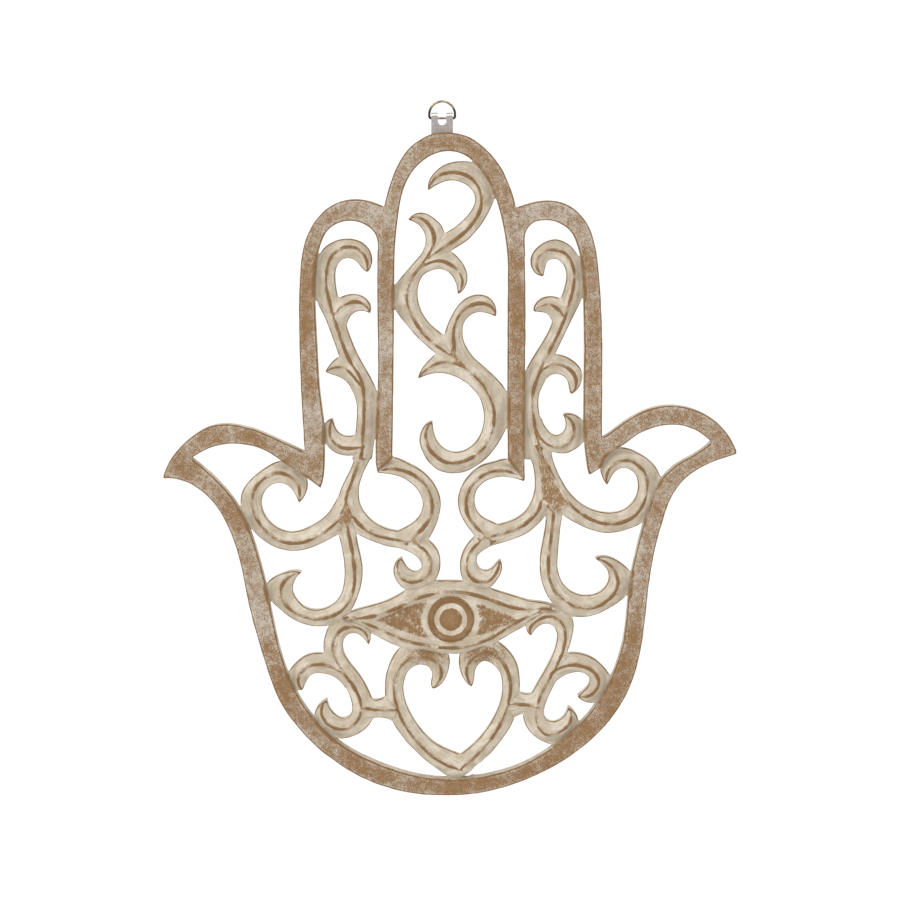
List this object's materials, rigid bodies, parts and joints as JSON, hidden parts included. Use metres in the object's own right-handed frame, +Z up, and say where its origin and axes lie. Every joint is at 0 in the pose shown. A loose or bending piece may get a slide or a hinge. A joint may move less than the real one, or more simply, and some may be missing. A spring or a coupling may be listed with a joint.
{
  "type": "hamsa hand ornament",
  "caption": "Openwork hand carved from one whitewashed wooden board, with an eye and a heart among scrolls, hung by a wire ring in a folded steel strap on its back.",
  "frame": {"origin": "the hang point, inside the top of the hanging ring, where a nail bears", "axes": "+Z up, the carved front faces -Y, +X to the right as seen from the front"},
  "size_m": [0.345, 0.0153, 0.4192],
  "materials": {
    "distressed_band": "whitewashed and sanded through, matt",
    "carved_cream": "cream wash, sanded back to brown on the ridges, matt",
    "strap_steel": "zinc plated, dull",
    "ring_wire": "aged brass plated wire",
    "screw_steel": "zinc plated"
  },
  "bodies": {
    "panel": {"middle_finger_band": "distressed_band", "index_finger_band": "distressed_band", "ring_finger_band": "distressed_band", "left_thumb_band": "distressed_band", "right_thumb_band": "distressed_band", "palm_band": "distressed_band", "eye": "carved_cream", "heart": "carved_cream", "index_scroll": "carved_cream", "ring_scroll": "carved_cream", "left_palm_scroll": "carved_cream", "right_palm_scroll": "carved_cream", "middle_scroll": "carved_cream", "left_thumb_scroll": "carved_cream", "right_thumb_scroll": "carved_cream", "left_drop_scroll": "carved_cream", "right_drop_scroll": "carved_cream", "left_lower_scroll": "carved_cream", "right_lower_scroll": "carved_cream", "hanger_strap": "strap_steel", "hanger_screw": "screw_steel"},
    "ring": {"hanger_ring": "ring_wire"}
  },
  "joints": [
    {"name": "ring_swing", "type": "hinge", "parent": "panel", "child": "ring", "pos_m": [0, 0, -0.0093], "axis": [1, 0, 0], "range_deg": [-170, 135]}
  ]
}
